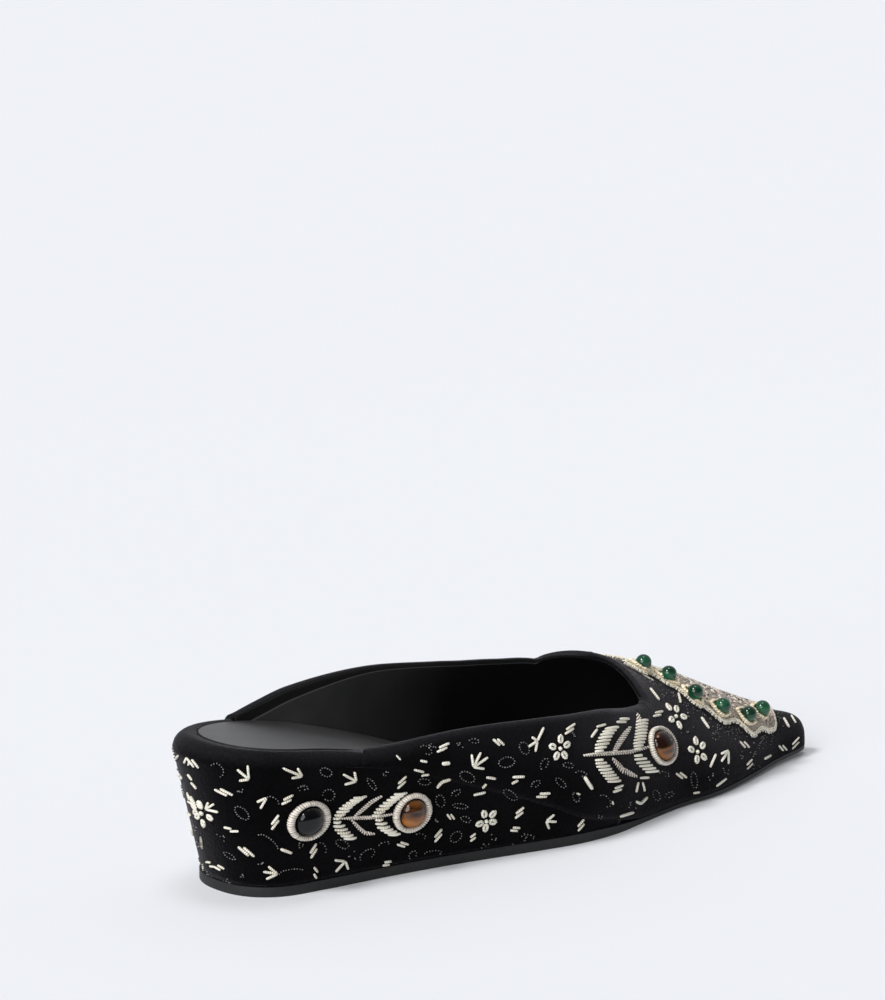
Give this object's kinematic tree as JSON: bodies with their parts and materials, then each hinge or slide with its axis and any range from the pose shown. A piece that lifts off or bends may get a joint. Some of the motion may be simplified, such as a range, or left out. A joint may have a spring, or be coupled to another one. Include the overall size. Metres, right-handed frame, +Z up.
{
  "type": "wedge mule",
  "caption": "Pointed velvet slip-on mule on a covered wedge: squared throat, open back, padded footbed, beaded vamp panel and oval stones in stitched rings, right foot.",
  "frame": {"origin": "middle of the underside of the box round the shoe, on the floor", "axes": "+X from heel to toe, +Y to the inner side of the right foot, +Z up"},
  "size_m": [0.262, 0.0818, 0.054],
  "materials": {
    "velvet": "short dense black velvet nap, dull with a faint grazing sheen",
    "black_leather": "smooth black leather with a satin sheen",
    "sole_rubber": "smooth dull black sole, edge slightly lighter",
    "gold_thread": "pale gold metal thread and purl, with a soft metallic glint",
    "green_stone": "polished dark green bead",
    "brown_stone": "polished banded brown stone",
    "black_stone": "polished black stone"
  },
  "bodies": {
    "root": {"outsole": "sole_rubber", "wedge": "velvet", "footbed": "black_leather", "upper": "velvet", "vamp_panel": "gold_thread", "bead_outer_1": "green_stone", "bead_inner_1": "green_stone", "bead_outer_2": "green_stone", "bead_inner_2": "green_stone", "bead_outer_3": "green_stone", "bead_inner_3": "green_stone", "bead_outer_4": "green_stone", "bead_inner_4": "green_stone", "bead_outer_5": "green_stone", "bead_inner_5": "green_stone", "bead_outer_6": "green_stone", "bead_inner_6": "green_stone", "heel_stone_outer": "black_stone", "heel_ring_outer": "gold_thread", "heel_stone_inner": "black_stone", "heel_ring_inner": "gold_thread", "wedge_stone_outer": "brown_stone", "wedge_ring_outer": "gold_thread", "wedge_stone_inner": "brown_stone", "wedge_ring_inner": "gold_thread", "vamp_stone_outer": "brown_stone", "vamp_ring_outer": "gold_thread", "vamp_stone_inner": "brown_stone", "vamp_ring_inner": "gold_thread"}
  },
  "joints": []
}
